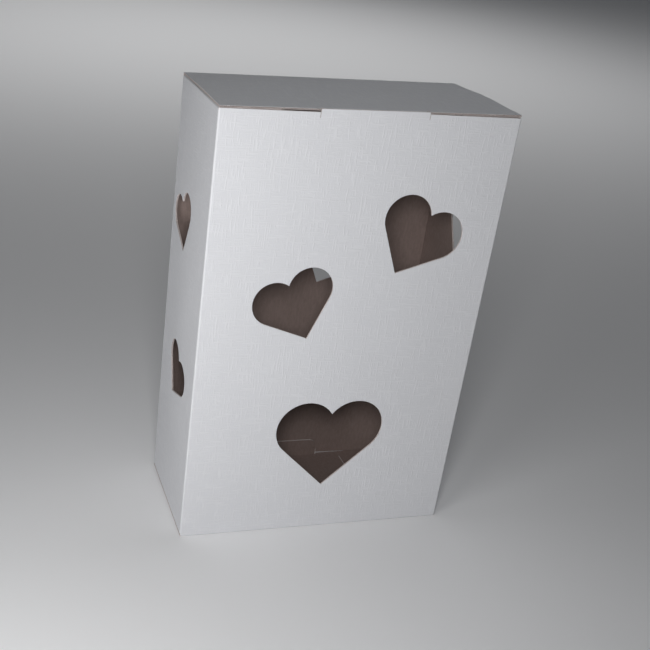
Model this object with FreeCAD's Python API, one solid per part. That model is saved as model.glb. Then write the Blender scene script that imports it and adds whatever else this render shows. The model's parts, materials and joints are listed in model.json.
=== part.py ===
"""A folding card box: one die-cut blank of white embossed board, folded into a tall tube.

The tube's four walls carry heart-shaped windows. Each end is closed the same way, turned over:
two dust flaps fold in from the side walls, and a full panel folds over them and tucks in behind
the opposite wall. The lid is hinged on the back wall and the bottom on the front wall.

Frame: millimetres, X to the right, Y to the back, Z up, the origin at the middle of the base.
A fold is a pie-shaped wedge round the line where the two inner faces meet. It is split down its
middle, and each piece that meets there keeps its own half.
"""
import FreeCAD, Part
import math
import os

V = FreeCAD.Vector

# Overall sizes
width = 270.0
depth = 128.0
height = 416.0
board = 1.6

# Lid, and the bottom panel, which is the lid turned over
lid_side_inset = 0.5
lid_front_inset = 0.4
stack_gap = 0.3

# Front wall's top edge: a raised tongue between two shoulders, with a slit at each end
tongue_width = 97.0
tongue_drop = 0.2
tongue_clearance = 0.5
shoulder_gap_small = 0.4
shoulder_gap_large = 1.3
slit_width = 0.5
slit_depth = 4.5

# Tuck flap, behind the tongue
tuck_side_inset = 2.5
tuck_length = 20.0
tuck_corner_radius = 8.0
tuck_gap = 0.4

# Dust flaps
dust_length = 60.0
dust_front_clearance = 1.0
dust_back_clearance = 1.4
dust_shoulder = 9.0
dust_follow = 0.25          # how far a dust flap turns for each degree of the lid
dust_corner_radius = 5.0

# Glue flap, on the left wall's back edge and stuck inside the back wall
glue_width = 18.0
glue_end_inset = 14.0
glue_end_taper = 6.0
seam_inset = 0.8            # how far the back wall's raw edge stops short of the corner

# Heart windows: the lobes' radius and the tip's distance, each for a lobe offset of one
lobe_radius_share = 1.2
tip_share = 2.6

# Windows as (share across from the middle, share up, heart width, tilt to the left in degrees),
# seen from outside. The back and right walls carry them a little further to the right.
broad_windows = [
    (0.011, 0.270, 107.0, 0.0),
    (-0.193, 0.601, 76.0, 24.0),
    (0.230, 0.7555, 81.0, -25.5),
]
narrow_windows = [
    (-0.18, 0.717, 61.5, 20.0),
    (0.035, 0.367, 61.5, -25.0),
]
far_wall_shift = 12.0

# Worked out from the sizes above
half_width = width / 2
half_depth = depth / 2
tuck_width = tongue_width - 2 * tuck_side_inset
fold_reach = board * math.sqrt(0.5)             # from a fold's inner line to its split, along one axis
hinge_y = half_depth - board + fold_reach       # the lid turns about the outer end of its fold's split
hinge_z = height - board + fold_reach
dust_fold_z = height - 2 * board - stack_gap    # inner line of a top dust flap's fold
tuck_face_y = -half_depth + board + tuck_gap    # outer face of the tuck flap at its fold
tuck_fold_y = tuck_face_y + board
tuck_swing = hinge_y - tuck_face_y
tuck_drop = hinge_z - (height - board - tuck_length)
tuck_lean = math.degrees(math.asin((tuck_swing - math.sqrt(tuck_swing**2 - tuck_drop**2)) / tuck_length))

OUT, IN = V(0, -1, 0), V(0, 1, 0)
LEFT, RIGHT = V(-1, 0, 0), V(1, 0, 0)
UP, DOWN = V(0, 0, 1), V(0, 0, -1)


def prism(points, direction):
    """A flat outline of straight edges, pulled out along a direction."""
    return Part.Face(Part.makePolygon(points + [points[0]])).extrude(direction)


def wedge(corner, start, end, along):
    """Part of a fold: a pie slice of the board's thickness, from one direction to another."""
    start, end = V(start).normalize(), V(end).normalize()
    middle = (start + end).normalize()
    first, centre, last = (corner + d * board for d in (start, middle, end))
    outline = [
        Part.LineSegment(corner, first).toShape(),
        Part.Arc(first, centre, last).toShape(),
        Part.LineSegment(last, corner).toShape(),
    ]
    return Part.Face(Part.Wire(outline)).extrude(along)


def half_fold(corner, face, neighbour, along):
    """A panel's own half of a fold, between its outer face and its neighbour's."""
    return wedge(corner, face, face + neighbour, along)


def join(shapes):
    """Several touching solids as one."""
    return shapes[0].fuse(shapes[1:]).removeSplitter()


def round_corners(shape, radius, is_corner):
    """Rounds the edges through the board whose middle passes the test."""
    edges = [e for e in shape.Edges if abs(e.Length - board) < 1e-6 and is_corner(e.CenterOfMass)]
    return shape.makeFillet(radius, edges)


def turn_over(shape):
    """Takes a piece of the top end to the bottom end, and the front wall to the back."""
    turned = shape.copy()
    turned.rotate(V(0, 0, height / 2), V(1, 0, 0), 180)
    return turned


def mirror_sideways(shape):
    """Takes a piece from one side to the other."""
    return shape.mirror(V(0, 0, 0), V(1, 0, 0))


def heart(heart_width):
    """A heart's face in the XZ plane, its lobe centres at z = 0 and its tip pointing down."""
    offset = heart_width / (2 * (1 + lobe_radius_share))
    radius = offset * lobe_radius_share
    tip_depth = offset * tip_share
    to_centre = math.hypot(offset, tip_depth)
    slope = math.atan2(tip_depth, offset) - math.asin(radius / to_centre)
    flank = math.sqrt(to_centre**2 - radius**2)
    notch = V(0, 0, math.sqrt(radius**2 - offset**2))
    tip = V(0, 0, -tip_depth)
    edges = []
    for side in (1, -1):
        shoulder = V(side * flank * math.cos(slope), 0, flank * math.sin(slope) - tip_depth)
        crown = V(side * (offset + radius * math.sqrt(0.5)), 0, radius * math.sqrt(0.5))
        edges.append(Part.Arc(notch, crown, shoulder).toShape())
        edges.append(Part.LineSegment(shoulder, tip).toShape())
    return Part.Face(Part.Wire(Part.__sortEdges__(edges)))


def windows(pattern, span, stand_off, quarter_turns, shift):
    """The hearts of one wall as cutters, built on the front and turned about Z to the wall."""
    cutters = []
    for across, up, heart_width, tilt in pattern:
        cutter = heart(heart_width).extrude(IN * 4 * board)
        cutter.rotate(V(0, 0, 0), OUT, tilt)
        cutter.translate(V(across * span + shift, -stand_off - board, up * height))
        cutter.rotate(V(0, 0, 0), UP, 90 * quarter_turns)
        cutters.append(cutter)
    return cutters


def broad_wall(right_end_is_raw):
    """The front wall without windows: fold at the bottom, tongue at the top."""
    face_y = -half_depth
    left = -half_width + board
    right = half_width - seam_inset if right_end_is_raw else half_width - board
    under_lid = height - board
    high, low = under_lid - shoulder_gap_small, under_lid - shoulder_gap_large
    tongue, slit = tongue_width / 2, tongue_width / 2 + slit_width
    tongue_top = height - tongue_drop
    outline = [
        (left, board), (right, board), (right, low), (slit, high), (slit, high - slit_depth),
        (tongue, high - slit_depth), (tongue, tongue_top), (-tongue, tongue_top),
        (-tongue, low - slit_depth), (-slit, low - slit_depth), (-slit, low), (left, high),
    ]
    pieces = [
        prism([V(x, face_y, z) for x, z in outline], IN * board),
        half_fold(V(left, face_y + board, board), OUT, LEFT, UP * (high - board)),
        half_fold(V(left, face_y + board, board), OUT, DOWN, RIGHT * (width - 2 * board)),
    ]
    if not right_end_is_raw:
        pieces.append(half_fold(V(right, face_y + board, board), OUT, RIGHT, UP * (low - board)))
    return join(pieces)


def side_wall(back_end):
    """The right wall without windows, with its fold lines at the front, top and bottom."""
    corner_x, front = half_width - board, -half_depth + board
    low, high = height - dust_fold_z, dust_fold_z
    rise, run = UP * (high - low), IN * (back_end - front)
    return join([
        Part.makeBox(board, back_end - front, high - low, V(corner_x, front, low)),
        half_fold(V(corner_x, front, low), RIGHT, OUT, rise),
        half_fold(V(corner_x, back_end, low), RIGHT, IN, rise),
        half_fold(V(corner_x, front, low), RIGHT, DOWN, run),
        half_fold(V(corner_x, front, high), RIGHT, UP, run),
    ])


def glue_flap(fold_y):
    """The glue flap as it would fold off the right wall, inside the back wall."""
    corner_x = half_width - board
    low, high = glue_end_inset, height - glue_end_inset
    inner = corner_x - glue_width
    outline = [
        (corner_x, low), (corner_x, high), (inner, high - glue_end_taper), (inner, low + glue_end_taper),
    ]
    flap = prism([V(x, fold_y, z) for x, z in outline], IN * board)
    fold = half_fold(V(corner_x, fold_y, low), IN, RIGHT, UP * (high - low))
    return join([flap, fold])


def lid():
    """The full panel over the top: fold at the back, and a recess at the front for the tongue."""
    under = height - board
    side, fold_end = half_width - lid_side_inset, half_width - board
    back, front = half_depth - board, -half_depth + lid_front_inset
    recess = tongue_width / 2 + tongue_clearance
    outline = [
        (-side, front), (-recess, front), (-recess, tuck_fold_y), (recess, tuck_fold_y),
        (recess, front), (side, front), (side, back), (-side, back),
    ]
    return join([
        prism([V(x, y, under) for x, y in outline], UP * board),
        half_fold(V(-fold_end, back, under), UP, IN, RIGHT * 2 * fold_end),
        half_fold(V(-tuck_width / 2, tuck_fold_y, under), UP, OUT, RIGHT * tuck_width),
    ])


def tuck_flap():
    """Hangs from the lid behind the tongue, leaning in so that it clears the wall as it swings."""
    corner = V(-tuck_width / 2, tuck_fold_y, height - board)
    flap = Part.makeBox(tuck_width, board, tuck_length, corner - V(0, board, tuck_length))
    flap = round_corners(flap, tuck_corner_radius, lambda p: p.z < height - board - tuck_length / 2)
    flap.rotate(corner, RIGHT, tuck_lean)
    lean = math.radians(tuck_lean)
    face = V(0, -math.cos(lean), -math.sin(lean))
    return join([flap, wedge(corner, UP + OUT, face, RIGHT * tuck_width)])


def dust_flap(tuck_end, hinge_end):
    """The right wall's top flap. Its back edge recedes, so that the rising lid stays clear of it.

    The two ends are how far its wall reaches from the middle, at the lid's tuck and at its hinge.
    """
    corner_x = half_width - board
    inner = corner_x - dust_length
    front, back = -tuck_end + dust_front_clearance, hinge_end - dust_back_clearance
    taper = dust_length * dust_follow + dust_back_clearance
    outline = [
        (corner_x, front), (corner_x, back), (inner, back - taper),
        (inner, front + dust_shoulder), (inner + dust_shoulder, front),
    ]
    flap = prism([V(x, y, dust_fold_z) for x, y in outline], UP * board)
    flap = round_corners(flap, dust_corner_radius, lambda p: p.x < inner + board and p.y > 0)
    fold = half_fold(V(corner_x, front, dust_fold_z), UP, RIGHT, IN * (back - front))
    return join([flap, fold])


def build():
    """Every piece of the box by name."""
    plain_end = half_depth - board
    seam_end = half_depth - 2 * board
    left_wall, right_wall = mirror_sideways(side_wall(seam_end)), side_wall(plain_end)
    front_wall, back_wall = broad_wall(False), mirror_sideways(turn_over(broad_wall(True)))
    top = {
        "lid": lid(),
        "lid_tuck_flap": tuck_flap(),
        "lid_left_dust_flap": mirror_sideways(dust_flap(plain_end, seam_end)),
        "lid_right_dust_flap": dust_flap(plain_end, plain_end),
    }
    bottom = {
        "bottom_panel": turn_over(lid()),
        "bottom_tuck_flap": turn_over(tuck_flap()),
        "bottom_left_dust_flap": turn_over(mirror_sideways(dust_flap(seam_end, plain_end))),
        "bottom_right_dust_flap": turn_over(dust_flap(plain_end, plain_end)),
    }
    walls = {
        "front_wall": front_wall.cut(windows(broad_windows, width, half_depth, 0, 0)),
        "right_wall": right_wall.cut(windows(narrow_windows, depth, half_width, 1, far_wall_shift)),
        "back_wall": back_wall.cut(windows(broad_windows, width, half_depth, 2, far_wall_shift)),
        "left_wall": left_wall.cut(windows(narrow_windows, depth, half_width, 3, 0)),
        "glue_flap": mirror_sideways(glue_flap(seam_end)),
    }
    return {**walls, **top, **bottom}


os.makedirs("parts", exist_ok=True)
for name, shape in build().items():
    shape.exportStep(f"parts/{name}.step")
    box = shape.BoundBox
    print(f"{name:24s} solids {len(shape.Solids)} valid {shape.isValid()} volume {shape.Volume:9.1f} "
          f"z {box.ZMin:7.2f} to {box.ZMax:7.2f}")
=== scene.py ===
"""A wedding card box of white embossed fluted card, folded up from one die-cut blank.

Every panel is built as real board: an outer and an inner liner with a fluted sheet between them,
whose open flutes show wherever the blank was cut, and are crushed flat along each crease.
"""
import json
import math

import bmesh
import bpy
from mathutils import Matrix, Vector

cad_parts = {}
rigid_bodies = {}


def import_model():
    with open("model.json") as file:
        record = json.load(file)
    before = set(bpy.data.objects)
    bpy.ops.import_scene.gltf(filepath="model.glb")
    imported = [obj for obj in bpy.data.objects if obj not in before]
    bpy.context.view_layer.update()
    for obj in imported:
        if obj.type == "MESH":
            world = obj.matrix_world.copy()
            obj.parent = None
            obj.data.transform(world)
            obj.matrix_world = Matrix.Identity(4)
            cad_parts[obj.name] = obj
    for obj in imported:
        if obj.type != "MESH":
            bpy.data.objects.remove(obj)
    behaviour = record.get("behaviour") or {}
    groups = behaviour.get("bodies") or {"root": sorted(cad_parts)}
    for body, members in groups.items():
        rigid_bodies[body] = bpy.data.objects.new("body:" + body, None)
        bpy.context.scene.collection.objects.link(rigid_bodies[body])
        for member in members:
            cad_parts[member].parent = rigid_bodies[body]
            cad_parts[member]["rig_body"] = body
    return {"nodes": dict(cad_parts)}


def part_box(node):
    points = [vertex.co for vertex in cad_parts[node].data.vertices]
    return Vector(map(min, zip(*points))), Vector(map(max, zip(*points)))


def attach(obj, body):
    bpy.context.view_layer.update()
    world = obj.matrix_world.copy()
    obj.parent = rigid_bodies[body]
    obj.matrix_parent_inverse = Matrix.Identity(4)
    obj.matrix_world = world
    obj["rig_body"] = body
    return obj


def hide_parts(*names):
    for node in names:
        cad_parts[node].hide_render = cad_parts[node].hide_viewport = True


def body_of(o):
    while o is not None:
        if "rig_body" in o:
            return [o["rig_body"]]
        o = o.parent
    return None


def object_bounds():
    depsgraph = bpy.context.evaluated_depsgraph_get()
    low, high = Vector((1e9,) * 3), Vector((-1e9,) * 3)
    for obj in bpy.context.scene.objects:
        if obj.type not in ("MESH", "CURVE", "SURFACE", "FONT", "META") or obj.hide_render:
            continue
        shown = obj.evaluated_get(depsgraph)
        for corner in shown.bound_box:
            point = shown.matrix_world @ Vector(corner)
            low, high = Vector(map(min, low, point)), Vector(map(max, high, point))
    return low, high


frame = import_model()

bl_info = {
    "name": "Wedding card box",
    "version": (1, 0, 0),
    "blender": (4, 5, 0),
    "location": "3D View > Sidebar > Card box",
    "description": "Builds a folding card box with heart windows out of embossed fluted card",
    "category": "Add Mesh",
}

CAD_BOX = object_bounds()

LEFT, RIGHT = Vector((-1, 0, 0)), Vector((1, 0, 0))
FRONT, BACK = Vector((0, -1, 0)), Vector((0, 1, 0))
DOWN, UP = Vector((0, 0, -1)), Vector((0, 0, 1))

LID_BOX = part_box("lid")
THICKNESS = LID_BOX[1].z - LID_BOX[0].z
TUCK_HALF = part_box("lid_tuck_flap")[1].x

# How far a cutter reaches past what it cuts
OVERSHOOT = 0.002
# A face is on the printed or the inner side if its normal leans this far that way. The slanted
# face of a fold, which leans by 0.71, counts as inside
FACE_LEAN = 0.6
# Faces whose normals agree this well lie in one plane
SAME_PLANE = 0.9999
# Points this near each other are one, and a cutting plane takes a point this near as on it
WELD, ON_PLANE = 1e-6, 1e-7
# Faces that meet at less than this are one smooth surface
SMOOTH_ANGLE = math.radians(32)
# Straight steps in one wave of the fluted sheet
WAVE_STEPS = 8
# A bow dies out at this share of the way from the middle of a panel to its edge
BOW_REACH = 0.8
# A wall at least this wide bows fully
FULL_BOW_WIDTH = 0.2
# Points along and across the lattice that bows a panel
BOW_POINTS = 9

# Each panel: the way its printed side faces, the way its flutes run, and the sides it is folded on
PANELS = {
    "front_wall": (FRONT, UP, (LEFT, RIGHT, DOWN)),
    "right_wall": (RIGHT, UP, (FRONT, BACK, DOWN, UP)),
    "back_wall": (BACK, UP, (RIGHT, UP)),
    "left_wall": (LEFT, UP, (FRONT, BACK, DOWN, UP)),
    "glue_flap": (BACK, UP, (LEFT,)),
    "lid": (UP, BACK, (BACK,)),
    "lid_tuck_flap": (FRONT, UP, (UP,)),
    "lid_left_dust_flap": (UP, RIGHT, (LEFT,)),
    "lid_right_dust_flap": (UP, RIGHT, (RIGHT,)),
    "bottom_panel": (DOWN, BACK, (FRONT,)),
    "bottom_tuck_flap": (BACK, UP, (DOWN,)),
    "bottom_left_dust_flap": (DOWN, RIGHT, (LEFT,)),
    "bottom_right_dust_flap": (DOWN, RIGHT, (RIGHT,)),
}
WALLS = ("front_wall", "right_wall", "back_wall", "left_wall", "glue_flap")
LID_PARTS = ("lid", "lid_tuck_flap", "lid_left_dust_flap", "lid_right_dust_flap")
BOTTOM_PARTS = ("bottom_panel", "bottom_tuck_flap", "bottom_left_dust_flap",
                "bottom_right_dust_flap")
# Walls that bow between their folds, which is all but the glue flap
BOWED_WALLS = WALLS[:4]
# Panels with a tuck flap in the middle of their free edge
WITH_TUCK_FLAP = ("lid", "bottom_panel")

# Order of the finishes on a panel
PRINTED, INNER, CUT_LINER, CUT_CORE = range(4)


# ---------------------------------------------------------------- settings

class BoardSettings(bpy.types.PropertyGroup):
    liner: bpy.props.FloatProperty(
        name="Liner", description="Thickness of the outer and of the inner paper",
        default=0.00026, min=0.0001, max=0.0005, unit="LENGTH", precision=5)
    white_layer: bpy.props.FloatProperty(
        name="White layer", description="Depth of the white top layer at a cut",
        default=0.0002, min=0.00005, max=0.0005, unit="LENGTH", precision=5)
    medium: bpy.props.FloatProperty(
        name="Fluted paper", description="Thickness of the fluted sheet between the liners",
        default=0.0002, min=0.0001, max=0.0004, unit="LENGTH", precision=5)
    pitch: bpy.props.FloatProperty(
        name="Flute pitch", description="Distance from one flute to the next",
        default=0.0032, min=0.001, max=0.009, unit="LENGTH", precision=5)
    glue_bite: bpy.props.FloatProperty(
        name="Glue bite", description="How far a flute's crest sinks into a liner's glue",
        default=0.00004, min=0.0, max=0.0002, unit="LENGTH", precision=5)
    crush: bpy.props.FloatProperty(
        name="Crushed crease", description="Width of the crushed strip beside a fold",
        default=0.0014, min=0.0, max=0.006, unit="LENGTH", precision=5)
    cut_round: bpy.props.FloatProperty(
        name="Cut rounding", description="Radius the die leaves on the printed edge of a cut",
        default=0.00014, min=0.00002, max=0.0003, unit="LENGTH", precision=5)
    grid: bpy.props.FloatProperty(
        name="Bow spacing", description="Distance between the lines along which a panel can bow",
        default=0.026, min=0.01, max=0.1, unit="LENGTH")
    wall_bow: bpy.props.FloatProperty(
        name="Wall bow", description="How far the middle of a wall stands proud of its folds",
        default=0.0009, min=0.0, max=0.003, unit="LENGTH", precision=5)
    lid_bow_left: bpy.props.FloatProperty(
        name="Lid bow at the left", description="Rise of the lid's left edge, halfway along",
        default=0.0006, min=0.0, max=0.003, unit="LENGTH", precision=5)
    lid_bow_right: bpy.props.FloatProperty(
        name="Lid bow at the right", description="Rise of the lid's right edge, halfway along",
        default=0.0015, min=0.0, max=0.003, unit="LENGTH", precision=5)


class PaperSettings(bpy.types.PropertyGroup):
    white: bpy.props.FloatVectorProperty(
        name="White", description="Colour of the printed side", subtype="COLOR", size=3,
        default=(0.78, 0.785, 0.81), min=0.0, max=1.0)
    # painted shade: the printed side is mixed towards this colour in the hollows between the
    # embossed threads, and the cut liner takes it as the tone of its darker fibres
    white_painted_shade_and_fibres: bpy.props.FloatVectorProperty(
        name="White in the hollows", description="Colour between the threads of the embossing",
        subtype="COLOR", size=3, default=(0.70, 0.705, 0.735), min=0.0, max=1.0)
    kraft: bpy.props.FloatVectorProperty(
        name="Kraft", description="Colour of the unprinted inner side", subtype="COLOR", size=3,
        default=(0.34, 0.262, 0.238), min=0.0, max=1.0)
    kraft_dark: bpy.props.FloatVectorProperty(
        name="Kraft, dark fibres", description="Colour of the darker fibres inside",
        subtype="COLOR", size=3, default=(0.26, 0.198, 0.178), min=0.0, max=1.0)
    core: bpy.props.FloatVectorProperty(
        name="Core", description="Colour of the fluted sheet at a cut", subtype="COLOR", size=3,
        default=(0.72, 0.655, 0.635), min=0.0, max=1.0)
    core_dark: bpy.props.FloatVectorProperty(
        name="Core, dark fibres", description="Colour of the core's darker fibres",
        subtype="COLOR", size=3, default=(0.56, 0.49, 0.47), min=0.0, max=1.0)
    thread_length: bpy.props.FloatProperty(
        name="Thread length", description="Typical length of an embossed thread",
        default=0.013, min=0.001, max=0.05, unit="LENGTH")
    thread_width: bpy.props.FloatProperty(
        name="Thread width", description="Typical width of an embossed thread",
        default=0.0013, min=0.0002, max=0.005, unit="LENGTH", precision=5)
    emboss: bpy.props.FloatProperty(
        name="Emboss depth", description="Height of the embossed threads",
        default=0.0001, min=0.0, max=0.001, unit="LENGTH", precision=5)


class StageSettings(bpy.types.PropertyGroup):
    camera_place: bpy.props.FloatVectorProperty(
        name="Camera", description="Where the camera stands", subtype="TRANSLATION", size=3,
        default=(-0.347, -0.811, 0.585))
    camera_turn: bpy.props.FloatVectorProperty(
        name="Camera turn", description="Which way the camera looks", subtype="EULER", size=3,
        default=(math.radians(65.12), math.radians(-5.14), math.radians(-14.46)))
    lens: bpy.props.FloatProperty(
        name="Lens", description="Focal length on a 36 mm wide frame", default=54.8, min=10.0,
        max=200.0, unit="CAMERA")
    shift: bpy.props.FloatProperty(
        name="Shift", description="Sideways shift of the lens, in frame widths", default=0.17)
    floor: bpy.props.FloatVectorProperty(
        name="Floor", description="Colour of the floor", subtype="COLOR", size=3,
        default=(0.88, 0.88, 0.885), min=0.0, max=1.0)
    floor_width: bpy.props.FloatProperty(
        name="Floor width", description="Side of the square floor", default=12.0, min=1.0,
        unit="LENGTH")
    room: bpy.props.FloatVectorProperty(
        name="Room light", description="Colour of the light all round", subtype="COLOR", size=3,
        default=(0.80, 0.83, 0.88), min=0.0, max=1.0)
    room_strength: bpy.props.FloatProperty(
        name="Room strength", description="Strength of the light all round", default=0.05,
        min=0.0)
    key_place: bpy.props.FloatVectorProperty(
        name="Key", description="Where the main light stands", subtype="TRANSLATION", size=3,
        default=(-0.305, -0.68, 0.56))
    key_power: bpy.props.FloatProperty(
        name="Key power", description="Power of the main light, at the front left",
        default=2.4, min=0.0, unit="POWER")
    key_size: bpy.props.FloatProperty(
        name="Key size", description="Side of the square main light", default=0.14, min=0.01,
        unit="LENGTH")
    side_place: bpy.props.FloatVectorProperty(
        name="Side light", description="Where the light on the left wall stands",
        subtype="TRANSLATION", size=3, default=(-0.52, -0.42, 0.34))
    side_power: bpy.props.FloatProperty(
        name="Side power", description="Power of the light on the left wall", default=1.45,
        min=0.0, unit="POWER")
    side_size: bpy.props.FloatProperty(
        name="Side light size", description="Side of the square light on the left wall",
        default=0.30, min=0.01, unit="LENGTH")
    floor_place: bpy.props.FloatVectorProperty(
        name="Floor light", description="Where the wide light over the floor stands",
        subtype="TRANSLATION", size=3, default=(0.6, 3.0, 1.6))
    floor_target: bpy.props.FloatVectorProperty(
        name="Floor light's target", description="Where the wide light points",
        subtype="TRANSLATION", size=3, default=(0.6, 3.2, 0.0))
    floor_size: bpy.props.FloatProperty(
        name="Floor light size", description="Side of the square light over the floor",
        default=3.0, min=0.01, unit="LENGTH")
    floor_power: bpy.props.FloatProperty(
        name="Floor power", description="Power of the wide light over the floor behind the box",
        default=28.0, min=0.0, unit="POWER")
    glow_strength: bpy.props.FloatProperty(
        name="Glow strength", description="Added strength of the room light from behind the box",
        default=0.9, min=0.0)
    glow_way: bpy.props.FloatVectorProperty(
        name="Glow direction", description="Where the added light is strongest", size=3,
        subtype="DIRECTION", default=(0.74, 0.67, -0.3))
    glow_spread: bpy.props.FloatProperty(
        name="Glow spread", description="How far from its direction the added light dies out",
        subtype="ANGLE", default=math.radians(60), min=0.0, max=math.pi)


def plain(color):
    """A colour setting with its alpha."""
    return (*color, 1.0)


# ---------------------------------------------------------------- materials

# Lumps of noise per width of a thread, and how much smaller the thin threads are and how high
THREAD_LUMPS, THIN_SIZE, THIN_HEIGHT = 0.9, 2.2, 0.4
# The noise at which a thread starts to rise, and at which it stands at its full height
THREAD_FROM, THREAD_FULL = 0.52, 0.70
# How squarely a face may look along a thread before the thread fades, and is gone
FADES, GONE = 0.5, 0.8
# Height of the fibres of unprinted paper
FIBRE_HEIGHT = 0.00008


def new_material(name):
    """An empty material's node tree, with its shader and output."""
    material = bpy.data.materials.new(name)
    material.use_nodes = True
    tree = material.node_tree
    tree.nodes.clear()
    out = tree.nodes.new("ShaderNodeOutputMaterial")
    shader = tree.nodes.new("ShaderNodeBsdfPrincipled")
    tree.links.new(shader.outputs["BSDF"], out.inputs["Surface"])
    return material, tree, shader


def feed(tree, value, socket):
    """Link a node's output to a socket, or set the socket to a plain value."""
    if isinstance(value, bpy.types.NodeSocket):
        tree.links.new(value, socket)
    else:
        socket.default_value = value


def sums(tree, operation, a, b, addend=0.0, limit=False):
    """One step of arithmetic."""
    node = tree.nodes.new("ShaderNodeMath")
    node.operation = operation
    node.use_clamp = limit
    for value, socket in zip((a, b, addend), node.inputs):
        feed(tree, value, socket)
    return node.outputs["Value"]


def speckle(tree, place, scale, detail, rough=0.5):
    """Noise over a place that may be stretched: scale is lumps per metre along x, y and z."""
    stretch = tree.nodes.new("ShaderNodeMapping")
    stretch.inputs["Scale"].default_value = scale
    tree.links.new(place, stretch.inputs["Vector"])
    noise = tree.nodes.new("ShaderNodeTexNoise")
    noise.inputs["Scale"].default_value = 1.0
    noise.inputs["Detail"].default_value = detail
    noise.inputs["Roughness"].default_value = rough
    tree.links.new(stretch.outputs["Vector"], noise.inputs["Vector"])
    return noise.outputs["Fac"]


def ramp(tree, value, low, high):
    """0 at low and 1 at high, smooth between them and level past them."""
    node = tree.nodes.new("ShaderNodeMapRange")
    node.interpolation_type = "SMOOTHSTEP"
    feed(tree, value, node.inputs["Value"])
    node.inputs["From Min"].default_value = low
    node.inputs["From Max"].default_value = high
    return node.outputs["Result"]


def between(tree, share, a, b):
    """A colour mixed from a to b by a share."""
    node = tree.nodes.new("ShaderNodeMix")
    node.data_type = "RGBA"
    feed(tree, share, node.inputs["Factor"])
    feed(tree, a, node.inputs["A"])
    feed(tree, b, node.inputs["B"])
    return node.outputs["Result"]


def bump(tree, shader, height, depth):
    """Raise the surface by a depth times a height from 0 to 1."""
    node = tree.nodes.new("ShaderNodeBump")
    node.inputs["Strength"].default_value = 1.0
    node.inputs["Distance"].default_value = depth
    tree.links.new(height, node.inputs["Height"])
    tree.links.new(node.outputs["Normal"], shader.inputs["Normal"])


def threads(tree, place, normal, paper):
    """The embossed threads: short raised lines along x, y and z, on faces that they can lie on."""
    split = tree.nodes.new("ShaderNodeSeparateXYZ")
    tree.links.new(normal, split.inputs["Vector"])
    long, fine = 1 / paper.thread_length, 1 / paper.thread_width
    coarse, thin = [], []
    for axis in range(3):
        facing = sums(tree, "ABSOLUTE", split.outputs[axis], 0.0)
        lies = ramp(tree, facing, GONE, FADES)
        for size, lines in ((1.0, coarse), (THIN_SIZE, thin)):
            scale = [fine * THREAD_LUMPS * size] * 3
            scale[axis] = long * size
            noise = speckle(tree, place, scale, detail=1.0)
            line = ramp(tree, noise, THREAD_FROM, THREAD_FULL)
            lines.append(sums(tree, "MULTIPLY", line, lies))
    coarse, thin = (sums(tree, "MAXIMUM", sums(tree, "MAXIMUM", a, b), c)
                    for a, b, c in (coarse, thin))
    return sums(tree, "MAXIMUM", coarse, sums(tree, "MULTIPLY", thin, THIN_HEIGHT))


def embossed_white(paper):
    """The printed side: white coated paper with a linen-like embossing."""
    _, tree, shader = new_material("embossed_white")
    spot = tree.nodes.new("ShaderNodeTexCoord")
    place, normal = spot.outputs["Object"], spot.outputs["Normal"]
    raised = threads(tree, place, normal, paper)
    weave = speckle(tree, place, (1500, 1500, 1500), detail=2.0)
    # broad soft tones from handling, plus painted light on the raised threads and painted shade in
    # the hollows between them
    handled = speckle(tree, place, (14, 14, 11), detail=3.0)
    light = sums(tree, "ADD", sums(tree, "MULTIPLY", raised, 0.35),
                 sums(tree, "MULTIPLY_ADD", handled, 0.45, addend=0.42), limit=True)
    # the mix runs from the painted shade of the hollows up to full white on the raised threads
    tree.links.new(between(tree, light, plain(paper.white_painted_shade_and_fibres), plain(paper.white)),
                   shader.inputs["Base Color"])
    gloss = sums(tree, "SUBTRACT", 0.56, sums(tree, "MULTIPLY", raised, 0.12))
    tree.links.new(gloss, shader.inputs["Roughness"])
    shader.inputs["Specular IOR Level"].default_value = 0.4
    height = sums(tree, "ADD", raised, sums(tree, "MULTIPLY", weave, 0.12))
    bump(tree, shader, height, paper.emboss)


def fibrous(name, paper_color, dark_color, grain, rough):
    """Unprinted paper: long fibres in two tones, with scattered dark flecks."""
    _, tree, shader = new_material(name)
    place = tree.nodes.new("ShaderNodeTexCoord").outputs["Object"]
    fibres = speckle(tree, place, grain, detail=3.0, rough=0.6)
    cloud = speckle(tree, place, (38, 38, 30), detail=3.0)
    fleck = ramp(tree, speckle(tree, place, (900, 900, 620), detail=0.0), 0.70, 0.78)
    share = sums(tree, "ADD", sums(tree, "MULTIPLY", ramp(tree, fibres, 0.3, 0.7), 0.5),
                 sums(tree, "MULTIPLY", cloud, 0.45))
    share = sums(tree, "SUBTRACT", share, sums(tree, "MULTIPLY", fleck, 0.5), limit=True)
    tree.links.new(between(tree, share, plain(dark_color), plain(paper_color)),
                   shader.inputs["Base Color"])
    shader.inputs["Roughness"].default_value = rough
    shader.inputs["Specular IOR Level"].default_value = 0.25
    bump(tree, shader, fibres, FIBRE_HEIGHT)


def board_finishes(paper):
    """The four finishes of a panel, in the order of PRINTED, INNER, CUT_LINER and CUT_CORE."""
    names = ("embossed_white", "kraft_inner", "cut_liner", "cut_core")
    if names[0] not in bpy.data.materials:
        embossed_white(paper)
        fibrous(names[1], paper.kraft, paper.kraft_dark, (420, 420, 150), 0.82)
        # the cut liner's darker fibres reuse the painted shade colour of the embossing hollows
        fibrous(names[2], paper.white, paper.white_painted_shade_and_fibres, (900, 900, 900), 0.75)
        fibrous(names[3], paper.core, paper.core_dark, (1400, 1400, 1400), 0.88)
    return [bpy.data.materials[n] for n in names]


# ---------------------------------------------------------------- board modelling

def only(piece):
    """Select one object and nothing else, and make it active."""
    bpy.ops.object.select_all(action="DESELECT")
    piece.select_set(True)
    bpy.context.view_layer.objects.active = piece


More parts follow.
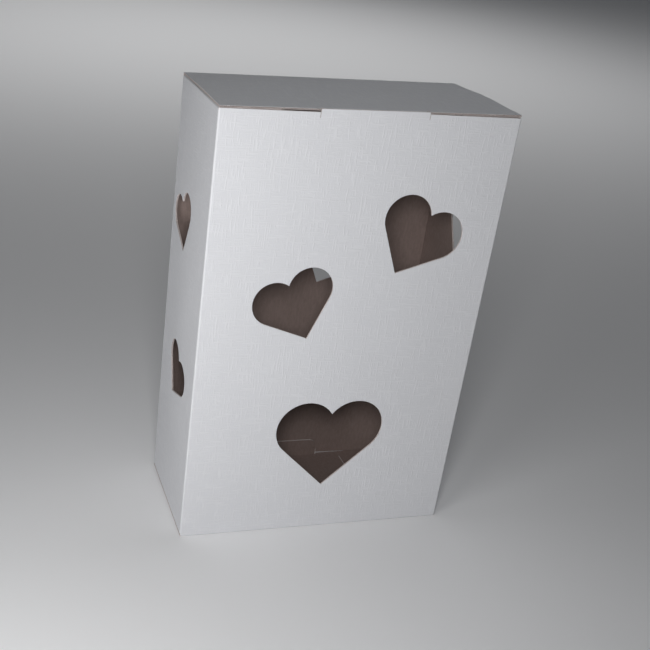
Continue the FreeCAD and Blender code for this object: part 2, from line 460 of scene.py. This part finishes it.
def pick(elements, test):
    """In edit mode, select only the faces or edges that pass a test."""
    bpy.ops.mesh.select_all(action="DESELECT")
    for e in elements:
        if test(e):
            e.select_set(True)


def use(modifier):
    """Apply a modifier of the active object."""
    bpy.ops.object.modifier_apply(modifier=modifier.name)


def take_away(body, cutter):
    """Cut a closed cutter out of a closed body, and remove the cutter."""
    only(body)
    cut = body.modifiers.new("cut", "BOOLEAN")
    cut.operation, cut.solver, cut.object = "DIFFERENCE", "MANIFOLD", cutter
    use(cut)
    bpy.data.objects.remove(cutter)


def block(name, low, high):
    """A block between two corners."""
    low, high = Vector(low), Vector(high)
    bpy.ops.object.select_all(action="DESELECT")
    bpy.ops.mesh.primitive_cube_add(size=1, location=(low + high) / 2)
    made = bpy.context.object
    made.name = name
    made.scale = high - low
    bpy.ops.object.transform_apply(location=True, rotation=True, scale=True)
    return made


def fluted_sheet(low, high, board):
    """The fluted sheet: one wave drawn out edge by edge, repeated across and given its thickness.

    It runs along y, from low to high, and its crests reach just into both liners."""
    middle = (low + high) / 2
    reach = (high.z - low.z) / 2 - board.medium / 2 + board.glue_bite
    wave = [reach * math.cos(2 * math.pi * k / WAVE_STEPS) for k in range(WAVE_STEPS + 1)]
    step = board.pitch / WAVE_STEPS
    start = low.x + step / 2
    bpy.ops.object.select_all(action="DESELECT")
    bpy.ops.mesh.primitive_plane_add(size=1, location=(start, middle.y, middle.z))
    sheet = bpy.context.object
    sheet.scale = (step, high.y - low.y + 2 * OVERSHOOT, 1)
    bpy.ops.object.transform_apply(location=True, rotation=True, scale=True)
    bpy.ops.object.mode_set(mode="EDIT")
    mesh = bmesh.from_edit_mesh(sheet.data)
    pick(mesh.edges, lambda e: all(v.co.x < start for v in e.verts))
    bpy.ops.transform.translate(value=(0, 0, wave[0]))
    pick(mesh.edges, lambda e: all(v.co.x > start for v in e.verts))
    bpy.ops.transform.translate(value=(0, 0, wave[1]))
    for k in range(1, WAVE_STEPS):
        bpy.ops.mesh.extrude_region_move(
            TRANSFORM_OT_translate={"value": (step, 0, wave[k + 1] - wave[k])})
    bpy.ops.object.mode_set(mode="OBJECT")
    rows = sheet.modifiers.new("rows", "ARRAY")
    rows.use_relative_offset, rows.use_constant_offset = False, True
    rows.constant_offset_displace = (board.pitch, 0, 0)
    rows.count = math.ceil((high.x - low.x) / board.pitch) + 1
    rows.use_merge_vertices, rows.merge_threshold = True, WELD
    use(rows)
    paper = sheet.modifiers.new("paper", "SOLIDIFY")
    paper.thickness, paper.offset = board.medium, 0
    use(paper)
    return sheet


def fill_sealed_flutes(panel):
    """Leave solid the flutes that a crease seals at both ends, as nothing of them shows."""
    only(panel)
    bpy.ops.object.mode_set(mode="EDIT")
    mesh = bmesh.from_edit_mesh(panel.data)
    pick(mesh.faces, lambda f: f.material_index == PRINTED)
    bpy.ops.mesh.select_linked()
    bpy.ops.mesh.select_all(action="INVERT")
    bpy.ops.mesh.delete(type="VERT")
    bpy.ops.object.mode_set(mode="OBJECT")


def cut_planes(panel, points, normal):
    """Divide a whole mesh along planes with the same normal, one through each point."""
    only(panel)
    bpy.ops.object.mode_set(mode="EDIT")
    for point in points:
        bpy.ops.mesh.select_all(action="SELECT")
        bpy.ops.mesh.bisect(plane_co=point, plane_no=normal, threshold=ON_PLANE)
    bpy.ops.object.mode_set(mode="OBJECT")


def own_frame(panel, face, grain):
    """The panel's own axes: x across the flutes, y along them, z out of the printed side."""
    faces = panel.data.polygons
    out = max((p.normal.copy() for p in faces if p.normal.dot(face) > FACE_LEAN),
              key=lambda n: sum(p.area for p in faces if p.normal.dot(n) > SAME_PLANE))
    along = (grain - out * grain.dot(out)).normalized()
    return Matrix((along.cross(out), along, out)).transposed()


def merged_copy(source, name):
    """A copy of a CAD node's mesh with its points merged, which makes it one closed shell."""
    panel = bpy.data.objects.new(name, source.data.copy())
    bpy.context.scene.collection.objects.link(panel)
    only(panel)
    bpy.ops.object.mode_set(mode="EDIT")
    bpy.ops.mesh.select_all(action="SELECT")
    bpy.ops.mesh.remove_doubles(threshold=WELD)
    bpy.ops.object.mode_set(mode="OBJECT")
    return panel


def give_finishes(piece, paper):
    """Put the four finishes of a panel in place of a piece's materials."""
    piece.data.materials.clear()
    for finish in board_finishes(paper):
        piece.data.materials.append(finish)


def round_cuts(panel, radius):
    """Round over the printed edge of every cut, as the die leaves it."""
    only(panel)
    bpy.ops.object.mode_set(mode="EDIT")
    mesh = bmesh.from_edit_mesh(panel.data)
    pick(mesh.edges, lambda e: {f.material_index for f in e.link_faces} == {PRINTED, CUT_CORE})
    bpy.ops.mesh.bevel(offset=radius, segments=2, affect="EDGES", material=PRINTED)
    bpy.ops.object.mode_set(mode="OBJECT")


def flute_air(node, low, high, sides, board):
    """The air beside the fluted sheet, from a cut to the crushed strip along a fold.

    Low and high are the panel's corners and sides are its folded sides, all in its own axes."""
    start, end = low.copy(), high.copy()
    crease = THICKNESS + board.crush
    # across the flutes, then along them
    for i in range(2):
        start[i] += crease if any(round(s[i]) == -1 for s in sides) else -OVERSHOOT
        end[i] -= crease if any(round(s[i]) == 1 for s in sides) else -OVERSHOOT
    start.z, end.z = low.z + board.liner, high.z - board.liner
    air = block(node + "_air", start, end)
    take_away(air, fluted_sheet(start, end, board))
    if node in WITH_TUCK_FLAP:
        # the flutes are crushed there too, where the tuck flap folds
        edge, inward = (high.y, -1) if node == "bottom_panel" else (low.y, 1)
        near, far = sorted((edge - inward * 2 * OVERSHOOT, edge + inward * crease))
        half = TUCK_HALF + board.crush
        take_away(air, block("tuck_crease", (-half, near, start.z - OVERSHOOT),
                             (half, far, end.z + OVERSHOOT)))
    return air


def whiten_cuts(panel, out, height):
    """Make the cuts white above a height, where the outer liner's top layer shows."""
    cut_planes(panel, [out * height], out)
    for p in panel.data.polygons:
        if p.material_index == CUT_CORE and out.dot(p.center) > height:
            p.material_index = CUT_LINER


def smooth(panel):
    """Smooth the rounded edges, and keep the big faces evenly lit up to them."""
    only(panel)
    bpy.ops.object.shade_smooth_by_angle(angle=SMOOTH_ANGLE)
    weigh = panel.modifiers.new("weigh", "WEIGHTED_NORMAL")
    weigh.keep_sharp = True
    use(weigh)


def make_panel(node, board, paper):
    """One panel of fluted board in place of a CAD node."""
    face, grain, folds = PANELS[node]
    source = frame["nodes"][node]
    panel = merged_copy(source, node + "_board")
    axes = own_frame(panel, face, grain)
    to_own = axes.transposed()
    out = axes.col[2]

    give_finishes(panel, paper)
    # the glue flap's edges are pressed flat against the wall and keep the inner colour
    cut = INNER if node == "glue_flap" else CUT_CORE
    for p in panel.data.polygons:
        lean = p.normal.dot(out)
        p.material_index = (PRINTED if lean > FACE_LEAN else
                            INNER if lean < -FACE_LEAN else cut)
    round_cuts(panel, board.cut_round)

    spots = [to_own @ v.co for v in panel.data.vertices]
    low = Vector([min(s[i] for s in spots) for i in range(3)])
    high = Vector([max(s[i] for s in spots) for i in range(3)])
    low.z = high.z - THICKNESS
    air = flute_air(node, low, high, [to_own @ f for f in folds], board)
    only(air)
    air.rotation_euler = axes.to_euler()
    bpy.ops.object.transform_apply(location=True, rotation=True, scale=True)
    give_finishes(air, paper)
    for p in air.data.polygons:
        p.material_index = CUT_CORE
    take_away(panel, air)
    fill_sealed_flutes(panel)
    whiten_cuts(panel, out, high.z - board.white_layer)

    bow_panel(panel, node, axes, low, high, board)
    smooth(panel)
    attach(panel, body_of(source)[0])
    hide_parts(node)


def swell(place):
    """1 in the middle of a panel, falling to 0 just before its edge at -1 or 1."""
    return math.cos(math.pi / 2 * min(1.0, abs(place) / BOW_REACH)) ** 2


def bow_panel(panel, node, axes, low, high, board):
    """Let a wall or the lid bow outwards a little between its folds, with a lattice round it."""
    if node in BOWED_WALLS:
        left = right = board.wall_bow * min(1.0, (high.x - low.x) / FULL_BOW_WIDTH)
    elif node == "lid":
        left, right = board.lid_bow_left, board.lid_bow_right
    else:
        return
    for i in range(2):
        count = max(2, round((high[i] - low[i]) / board.grid))
        lines = [low[i] + (high[i] - low[i]) * k / count for k in range(1, count)]
        cut_planes(panel, [axes.col[i] * s for s in lines], axes.col[i])
    bpy.ops.object.select_all(action="DESELECT")
    bpy.ops.object.add(type="LATTICE", location=axes @ ((low + high) / 2),
                       rotation=axes.to_euler())
    cage = bpy.context.object
    cage.scale = high - low + Vector((0, 0, 2 * OVERSHOOT))
    cage.data.points_u = cage.data.points_v = BOW_POINTS
    cage.data.points_w = 2
    cage.data.interpolation_type_u = cage.data.interpolation_type_v = "KEY_CARDINAL"
    for p in cage.data.points:
        a, b = 2 * p.co.x, 2 * p.co.y
        rise = (left + (right - left) * (a + 1) / 2) * swell(b)
        if node in BOWED_WALLS:
            # folds hold a wall at its sides, while the lid's are free
            rise *= swell(a)
        p.co_deform.z += rise / cage.scale.z
    bow = panel.modifiers.new("bow", "LATTICE")
    bow.object = cage
    bpy.context.view_layer.update()
    only(panel)
    use(bow)
    bpy.data.objects.remove(cage)


# ---------------------------------------------------------------- stage

def make_floor(stage):
    """A plain square floor under the box."""
    bpy.ops.object.select_all(action="DESELECT")
    bpy.ops.mesh.primitive_plane_add(size=stage.floor_width, location=(0, 0, CAD_BOX[0].z))
    floor = bpy.context.object
    floor.name = "floor"
    material, _, shader = new_material("floor_plain")
    shader.inputs["Base Color"].default_value = plain(stage.floor)
    shader.inputs["Roughness"].default_value = 0.9
    floor.data.materials.append(material)


def make_room(scene, stage):
    """Dim light from all round, with a glow from behind the box."""
    world = bpy.data.worlds.new("room")
    scene.world = world
    world.use_nodes = True
    sky = world.node_tree
    back = sky.nodes["Background"]
    back.inputs["Color"].default_value = plain(stage.room)
    way = sky.nodes.new("ShaderNodeTexCoord").outputs["Generated"]
    behind = sky.nodes.new("ShaderNodeVectorMath")
    behind.operation = "DOT_PRODUCT"
    sky.links.new(way, behind.inputs[0])
    behind.inputs[1].default_value = Vector(stage.glow_way).normalized()
    glow = ramp(sky, behind.outputs["Value"], math.cos(stage.glow_spread), 1.0)
    feed(sky, sums(sky, "ADD", sums(sky, "MULTIPLY", glow, stage.glow_strength),
                   stage.room_strength), back.inputs["Strength"])


def soft_light(name, place, target, size, power):
    """A square soft light at a place, turned to a target."""
    turn = (Vector(place) - Vector(target)).to_track_quat("Z", "Y").to_euler()
    bpy.ops.object.light_add(type="AREA", location=place, rotation=turn)
    lamp = bpy.context.object
    lamp.name = name
    lamp.data.size, lamp.data.energy = size, power
    lamp.visible_camera = False


def make_camera(scene, stage):
    """The camera, with colours shown as they are."""
    bpy.ops.object.camera_add(location=stage.camera_place, rotation=stage.camera_turn)
    camera = bpy.context.object
    camera.name = "camera"
    camera.data.sensor_width = 36
    camera.data.lens = stage.lens
    camera.data.shift_x = stage.shift
    camera.data.clip_start, camera.data.clip_end = 0.01, 50
    scene.camera = camera
    scene.view_settings.view_transform = "Standard"


# ---------------------------------------------------------------- operators

def make_panels(nodes, context):
    """Several panels, with the sizes and colours of the scene's settings."""
    for node in nodes:
        make_panel(node, context.scene.cardbox_board, context.scene.cardbox_paper)
    return {"FINISHED"}


class CARDBOX_OT_walls(bpy.types.Operator):
    """Build the tube: the four walls with their heart windows, and the glue flap"""
    bl_idname = "cardbox.walls"
    bl_label = "Walls"

    def execute(self, context):
        return make_panels(WALLS, context)


class CARDBOX_OT_lid(bpy.types.Operator):
    """Build the lid, its tuck flap and the two dust flaps under it"""
    bl_idname = "cardbox.lid"
    bl_label = "Lid and its flaps"

    def execute(self, context):
        return make_panels(LID_PARTS, context)


class CARDBOX_OT_bottom(bpy.types.Operator):
    """Build the bottom panel, its tuck flap and the two dust flaps over it"""
    bl_idname = "cardbox.bottom"
    bl_label = "Bottom and its flaps"

    def execute(self, context):
        return make_panels(BOTTOM_PARTS, context)


class CARDBOX_OT_stage(bpy.types.Operator):
    """Set up the floor, the lights and the camera"""
    bl_idname = "cardbox.stage"
    bl_label = "Stage"

    def execute(self, context):
        stage = context.scene.cardbox_stage
        make_floor(stage)
        make_room(context.scene, stage)
        middle = (CAD_BOX[0] + CAD_BOX[1]) / 2
        soft_light("key_light", stage.key_place, middle, stage.key_size, stage.key_power)
        soft_light("side_light", stage.side_place, middle, stage.side_size, stage.side_power)
        soft_light("floor_light", stage.floor_place, stage.floor_target, stage.floor_size,
                   stage.floor_power)
        make_camera(context.scene, stage)
        return {"FINISHED"}


class CARDBOX_PT_panel(bpy.types.Panel):
    """The card box's pieces and settings"""
    bl_idname = "CARDBOX_PT_panel"
    bl_label = "Card box"
    bl_space_type = "VIEW_3D"
    bl_region_type = "UI"
    bl_category = "Card box"

    def draw(self, context):
        scene = context.scene
        for settings in (scene.cardbox_board, scene.cardbox_paper, scene.cardbox_stage):
            column = self.layout.column(align=True)
            for name in type(settings).__annotations__:
                column.prop(settings, name)
        for operator in OPERATORS:
            self.layout.operator(operator.bl_idname)


SETTINGS = (BoardSettings, PaperSettings, StageSettings)
OPERATORS = (CARDBOX_OT_walls, CARDBOX_OT_lid, CARDBOX_OT_bottom, CARDBOX_OT_stage)


def register():
    for c in (*SETTINGS, *OPERATORS, CARDBOX_PT_panel):
        bpy.utils.register_class(c)
    bpy.types.Scene.cardbox_board = bpy.props.PointerProperty(type=BoardSettings)
    bpy.types.Scene.cardbox_paper = bpy.props.PointerProperty(type=PaperSettings)
    bpy.types.Scene.cardbox_stage = bpy.props.PointerProperty(type=StageSettings)


def unregister():
    del bpy.types.Scene.cardbox_stage
    del bpy.types.Scene.cardbox_paper
    del bpy.types.Scene.cardbox_board
    for c in reversed((*SETTINGS, *OPERATORS, CARDBOX_PT_panel)):
        bpy.utils.unregister_class(c)


def main():
    register()
    bpy.ops.cardbox.walls()
    bpy.ops.cardbox.lid()
    bpy.ops.cardbox.bottom()
    bpy.ops.cardbox.stage()


if __name__ == "__main__":
    main()
